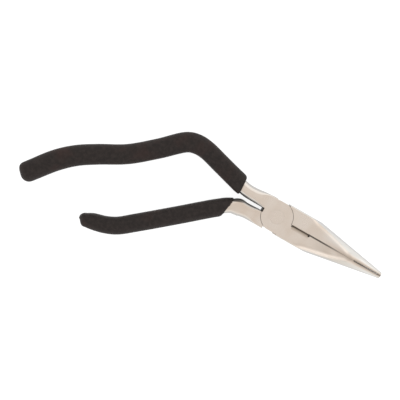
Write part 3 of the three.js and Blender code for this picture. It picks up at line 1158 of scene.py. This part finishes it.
    def tooth_cutters(self, teeth: bpy.types.NodeTree, top: float) -> bpy.types.Object:
        """The grooves of the gripping teeth, cut across the jaw."""
        crest, half = -self.grip_gap / 2, self.tooth_pitch * self.tooth_half
        groove = prism("groove", [(-half, crest + BEYOND), (-half, crest),
                                  (0, crest - self.tooth_depth), (half, crest),
                                  (half, crest + BEYOND)], -BEYOND, top)
        room = self.joint.jaw_length - self.tooth_tip_margin - self.tooth_start
        run_tree(groove, teeth, {"Count": int(room / self.tooth_pitch), "Pitch": self.tooth_pitch,
                                 "Start": self.tooth_start + self.tooth_pitch / 2,
                                 "Material": self.steel})
        return groove

    def shoulder_cuts(self, layer: float) -> list[bpy.types.Object]:
        """In the back layer neck and jaw end at the other disc, and then straight to the outline.

        Args:
            layer: where the front layer begins.

        Returns:
            The cutters of the neck's shoulder and of the jaw's, which is the same turned half round.
        """
        joint = self.joint
        radius = joint.disc_radius + joint.shoulder_gap
        cuts = []
        for way, degrees, end, outline in (
                (1, joint.neck_shoulder_angle, joint.neck_shoulder_end, self.neck_outline),
                (-1, joint.jaw_shoulder_angle, joint.jaw_shoulder_end, self.jaw_half_width)):
            angle = math.radians(degrees)
            corners = [(-radius * math.cos(angle), radius * math.sin(angle)), (0, 0),
                       (joint.disc_radius, 0), (joint.disc_radius, 2 * outline),
                       (-end, 2 * outline), (-end, outline)]
            cuts.append(prism("shoulder", [(x * way, y * way) for x, y in corners], -BEYOND, layer))
        return cuts

    def cheek_cuts(self, layer: float, top: float) -> list[bpy.types.Object]:
        """The straight cheek flats on the outer sides of the front disc."""
        joint = self.joint
        flat, out = joint.cheek_half_width, 2 * self.jaw_half_width
        foot = layer - joint.layer_gap
        return [box(-joint.cheek_neck_end, joint.disc_radius, flat, out, foot, top),
                box(-joint.disc_radius, joint.cheek_jaw_end, -out, -flat, foot, top)]

    def dress(self) -> None:
        """Cleans the mesh, gives it its steel and stands it in for its CAD node."""
        reworked(self.piece, cleaned)
        dressed(self.piece, self.steel, self.smooth_angle)
        LOG.info("%s: %d faces", self.name, len(self.piece.data.polygons))
        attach(self.piece, self.body)
        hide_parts(self.name.removesuffix("_forged"))


@dataclass
class Rivet:
    """The pivot rivet, its countersunk ends ground flush with both faces."""

    joint: LapJoint
    body: str = "front"
    edge: float = 0.015
    dish: float = 0.03               # how far the ends dip in the middle
    dish_radius: float = 0.4         # of the flat in the middle of the dip
    dish_shoulder: Span = (0.7, 0.5)           # share of the head's radius, share of the dip
    smooth_angle: float = 24.0
    piece: bpy.types.Object = field(init=False, default=None)

    def build(self) -> None:
        """Turns the rivet from its outline, with finely broken edges."""
        joint = self.joint
        head, shank = joint.rivet_head_radius, joint.rivet_radius
        across, down = self.dish_shoulder
        ends = [(self.dish_radius, self.dish), (head * across, self.dish * down),
                (head - 2 * self.edge, 0), (head - self.edge, self.edge)]
        upper = [(radius, joint.thickness - z) for radius, z in reversed(ends)]
        waist = [(shank, joint.rivet_head_depth),
                 (shank, joint.thickness - joint.rivet_head_depth)]
        self.piece = turned("rivet", [*ends, *waist, *upper], joint.sides)
        self.piece.name = "rivet_turned"

    def dress(self, steel: bpy.types.Material) -> None:
        """Gives the rivet its finish and stands it in for its CAD node."""
        dressed(self.piece, steel, self.smooth_angle)
        LOG.info("rivet: %d faces", len(self.piece.data.polygons))
        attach(self.piece, self.body)
        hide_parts("pivot_rivet")


@dataclass
class Grip:
    """A dipped sleeve on a tang: rounded lip at the mouth, blunt closed end."""

    name: str
    half: Half
    body: str
    line: HandleLine
    joint: LapJoint
    end_squareness: Span             # of the end's left and right corners
    end_reach: Span                  # of the end beyond the line, as shares of its half width
    lip_back: Span                   # length of the lip on the left and the right
    mouth_coat: Span                 # thickness of the coat at the mouth, left and right
    mouth: float                     # behind the pivot
    mouth_ramp: float = 5.0          # length over which the coat grows to its full thickness
    mouth_reach: float = 60.0        # length of line in which the mouth lies
    tang_thickness: float = 7.6
    tang_short: float = 4.0
    coat: float = 1.6
    face_coat: float = 1.75
    fit: float = 0.02                # between the bore and the tang
    squareness: float = 2.8
    bore_squareness: int = 8
    lip_share: float = 0.9           # of the coat that the lip rounds off
    blunt: float = 0.02              # least share of the section at the sleeve's end
    bore_blunt: float = 0.05         # and at the bore's
    body_rings: int = 190
    cap_rings: int = 20
    lip_rings: int = 8
    bore_rings: int = 60
    bore_cap_rings: int = 7
    sides: int = 72
    smooth_angle: float = 50.0
    piece: bpy.types.Object = field(init=False, default=None)

    def coat_at(self, x: np.ndarray) -> np.ndarray:
        """Thickness of the coat on the tang's sides, which grows behind the mouth."""
        behind = np.maximum(0, -self.mouth - x)
        return self.coat - (self.coat - self.across(self.mouth_coat)) * np.exp(
            -behind / self.mouth_ramp)

    def circle(self) -> tuple[np.ndarray, np.ndarray]:
        """Where the sides of a section lie on a unit circle, sideways and upwards."""
        angles = (np.arange(self.sides) + 0.5) * math.tau / self.sides
        return np.cos(angles), np.sin(angles)

    def section(self) -> tuple[np.ndarray, np.ndarray]:
        """The squarish unit section of the outside: sideways and upward shares."""
        power = 2 / self.squareness
        return tuple(np.sign(share) * np.abs(share) ** power for share in self.circle())

    def bore_section(self, half: np.ndarray) -> tuple[np.ndarray, np.ndarray]:
        """The tang's rounded rectangle, met along the same angles as the outside."""
        side, rise = self.circle()
        high, wide = self.tang_thickness / 2 + self.fit, half + self.fit
        power = self.bore_squareness
        reach = (np.abs(side / wide) ** power + np.abs(rise / high) ** power) ** (-1 / power)
        return side * reach, rise * reach

    def wall(self, stations: Stations, where: np.ndarray, inset: float) -> np.ndarray:
        """A ring on the outside, brought in by a share of the coat.

        Args:
            stations: the handle's line.
            where: the length along it for each side of the section.
            inset: 0 on the outside, 1 on the steel.

        Returns:
            The ring's points.
        """
        side, rise = self.section()
        centre, _, right, half = stations.at(where)
        wide = half + self.coat_at(centre[:, 0]) * (1 - inset)
        high = self.tang_thickness / 2 + self.face_coat * (1 - inset)
        flat = centre + right * (wide * side)[:, None]
        return np.column_stack([flat, self.joint.middle + high * rise])

    def starts(self, stations: Stations, back: float) -> np.ndarray:
        """Where each side of the outside lies a share of the lip behind the mouth, as a length."""
        side, _ = self.section()
        levels = self.mouth + back * self.across(self.lip_back)
        where = stations.length[stations.length < self.mouth_reach]
        centre, _, right, half = stations.at(where)
        wide = half + self.coat
        return np.array([np.interp(level, -(centre[:, 0] + right[:, 0] * wide * s), where)
                         for s, level in zip(side, levels)])

    def across(self, ends: Span) -> np.ndarray:
        """A value for each side of the section, between its left and right values."""
        side, _ = self.section()
        return ends[0] + (ends[1] - ends[0]) * (side + 1) / 2

    def build(self) -> None:
        """Lofts the sleeve: in from the mouth along the bore, and over the outside to the end."""
        stations = self.line.stations()
        total = stations.total()
        lip = []
        for step in range(self.lip_rings + 1):
            angle = math.pi / 2 * step / self.lip_rings
            inset = self.lip_share * (1 - math.sin(angle))
            lip.append(self.wall(stations, self.starts(stations, 1 - math.cos(angle)), inset))
        first = self.starts(stations, 1.0)
        outside = [self.wall(stations, first + (total - first) * step / self.body_rings, 0.0)
                   for step in range(1, self.body_rings + 1)]
        rings = [*reversed(self.bore(stations)), *lip, *outside, *self.end_cap(stations)]
        piece = lofted(self.name, rings)
        if self.half is Half.BACK:
            moved(piece, self.joint.turned_over())
        piece.name = self.name
        self.piece = piece

    def bore(self, stations: Stations) -> list[np.ndarray]:
        """The rings of the bore, from the mouth to the tang's end."""
        start, end = self.starts(stations, 0.0), stations.total() - self.tang_short
        rings = []
        for share in np.linspace(0, 1, self.bore_rings):
            rings.append(self.bore_ring(stations, start + (end - start) * share, 1.0, 0.0))
        for turn in np.linspace(0, math.pi / 2, self.bore_cap_rings + 1)[1:]:
            shrink = max(math.cos(turn), self.bore_blunt)
            rings.append(self.bore_ring(stations, np.full(self.sides, end), shrink, math.sin(turn)))
        return rings

    def bore_ring(self, stations: Stations, where: np.ndarray, shrink: float,
                  ahead: float) -> np.ndarray:
        """A ring of the bore, shrunk and moved on towards the tang's round end."""
        centre, along, right, half = stations.at(where)
        side, rise = self.bore_section(half)
        flat = centre + right * (side * shrink)[:, None] + along * (ahead * half)[:, None]
        return np.column_stack([flat, self.joint.middle + rise * shrink])

    def end_cap(self, stations: Stations) -> list[np.ndarray]:
        """The rings of the blunt end, each corner with its own squareness."""
        side, rise = self.section()
        total = np.full(self.sides, stations.total())
        centre, along, right, half = stations.at(total)
        wide = half + self.coat_at(centre[:, 0])
        high = self.tang_thickness / 2 + self.face_coat
        power = 2 / self.across(self.end_squareness)
        reach = self.across(self.end_reach)
        rings = []
        for turn in np.linspace(0, math.pi / 2, self.cap_rings + 1)[1:]:
            shrink = np.maximum(math.cos(turn), self.blunt) ** power
            ahead = wide * reach * math.sin(turn) ** power
            flat = centre + right * (wide * side * shrink)[:, None] + along * ahead[:, None]
            rings.append(np.column_stack([flat, self.joint.middle + high * rise * shrink]))
        return rings

    def dress(self, vinyl: bpy.types.Material) -> None:
        """Gives the grip its vinyl and stands it in for its CAD node."""
        dressed(self.piece, vinyl, self.smooth_angle)
        LOG.info("%s: %d faces", self.name, len(self.piece.data.polygons))
        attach(self.piece, self.body)
        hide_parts(self.name.removesuffix("_dipped"))


# ---- Studio ----


@dataclass(frozen=True)
class Lamp:
    """A soft square light that faces the pliers."""

    name: str
    place: Triple                    # metres
    size: float                      # metres
    brightness: float                # next to the world's

    def hang(self) -> None:
        """Puts the light in the scene."""
        data = bpy.data.lights.new(self.name, "AREA")
        data.size = self.size
        data.energy = self.brightness * math.pi * self.size * self.size
        lamp = bpy.data.objects.new(self.name, data)
        lamp.location = self.place
        lamp.rotation_euler = (-Vector(self.place)).to_track_quat("-Z", "Y").to_euler()
        bpy.context.scene.collection.objects.link(lamp)


@dataclass
class Studio:
    """A pale floor, a soft overhead light, two side lights and the camera above the pliers."""

    floor_level: float               # metres
    floor_radius: float = 6.0
    floor_sides: int = 96
    floor_grey: float = 0.35
    floor_roughness: float = 0.9
    floor_glow: float = 0.84
    zenith_light: float = 0.88
    horizon_light: float = 1.25
    sky_heights: Span = (0.92, 0.45)           # where the one turns into the other
    lamps: tuple[Lamp, ...] = (
        Lamp("overhead", (-0.10, 0.25, 0.95), 0.9, 0.10),
        Lamp("left", (-1.1, -0.5, 0.45), 0.7, 0.40),
        Lamp("right", (0.9, 0.9, 0.45), 0.7, 0.40))
    camera_place: Triple = (-51.51, 14.24, 526.22)                 # millimetres
    camera_turn: Triple = (-0.05684333, -0.00642232, 0.52102622)   # rotation vector
    lens: float = 85.49

    def build(self) -> None:
        """Makes the floor, the lights and the camera."""
        self.floor()
        self.world()
        for lamp in self.lamps:
            lamp.hang()
        self.camera()

    def floor(self) -> None:
        """A wide round floor in matte white that glows a little, so that shadows stay faint."""
        angles = np.arange(self.floor_sides) * math.tau / self.floor_sides
        ring = np.column_stack([np.cos(angles), np.sin(angles)]) * self.floor_radius
        points = np.column_stack([ring, np.full(len(ring), self.floor_level)])
        floor = made_mesh("floor", points, [list(range(len(points)))])
        finish = Finish("pale_floor")
        finish.fixed(Base_Color=(*[self.floor_grey] * 3, 1.0), Roughness=self.floor_roughness,
                     Specular_IOR_Level=0.0, Emission_Color=(1.0, 1.0, 1.0, 1.0),
                     Emission_Strength=self.floor_glow)
        floor.data.materials.append(finish.material)
        if floor.data.polygons[0].normal.z < 0:
            floor.data.flip_normals()
        floor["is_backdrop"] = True

    def world(self) -> None:
        """White light from all round, brighter towards the horizon."""
        world = bpy.data.worlds.new("studio")
        world.use_nodes = True
        tree = world.node_tree
        place = add(tree, "ShaderNodeTexCoord", {}, output="Generated")
        height = abs(add(tree, "ShaderNodeSeparateXYZ", {}, place, output="Z"))
        low = height.ramp(*self.sky_heights)
        strength = self.zenith_light + low * (self.horizon_light - self.zenith_light)
        tree.links.new(strength.value, tree.nodes["Background"].inputs["Strength"])
        tree.nodes["Background"].inputs["Color"].default_value = (1.0, 1.0, 1.0, 1.0)
        bpy.context.scene.world = world

    def camera(self) -> None:
        """The camera, almost straight above, rolled so that the tip points down to the right."""
        data = bpy.data.cameras.new("camera")
        data.lens = self.lens
        camera = bpy.data.objects.new("camera", data)
        turn = Vector(self.camera_turn)
        camera.matrix_world = (Matrix.Translation(Vector(self.camera_place) * MM)
                               @ Matrix.Rotation(turn.length, 4, turn.normalized()))
        bpy.context.scene.collection.objects.link(camera)
        bpy.context.scene.camera = camera


def main() -> None:
    """Builds the pliers, the studio and the list of sizes."""
    logging.basicConfig(level=logging.INFO, format="%(name)s: %(message)s")
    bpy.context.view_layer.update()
    bpy.context.scene.view_settings.view_transform = "Standard"
    joint = LapJoint()
    steel, rivet_steel = SatinSteel(mid_height=joint.middle).made(), RivetSteel().made()
    vinyl = DippedVinyl().made()
    bars, teeth = bar_tree(), teeth_tree()
    halves = (Forging("front_half_forged", Half.FRONT, "front", UPPER_STEEL, joint,
                      neck_outline=8.8, cutter_bevel=1.0, steel=steel),
              Forging("back_half_forged", Half.BACK, "back", LOWER_STEEL, joint,
                      neck_outline=9.55, cutter_bevel=0.25, steel=steel))
    for forging in halves:
        forging.build(bars, teeth)
        forging.dress()
    rivet = Rivet(joint)
    rivet.build()
    rivet.dress(rivet_steel)
    grips = (Grip("upper_grip_dipped", Half.FRONT, "front", UPPER_LINE, joint,
                  end_squareness=(2.2, 2.7), end_reach=(0.84, 0.74), lip_back=(0.6, 2.2),
                  mouth_coat=(1.1, 2.5), mouth=24.1),
             Grip("lower_grip_dipped", Half.BACK, "back", LOWER_LINE, joint,
                  end_squareness=(2.3, 2.0), end_reach=(1.00, 0.70), lip_back=(0.3, 1.8),
                  mouth_coat=(1.0, 1.3), mouth=25.5))
    for grip in grips:
        grip.build()
        grip.dress(vinyl)
    Studio(floor_level=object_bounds()[0].z).build()


if __name__ == "__main__":
    main()
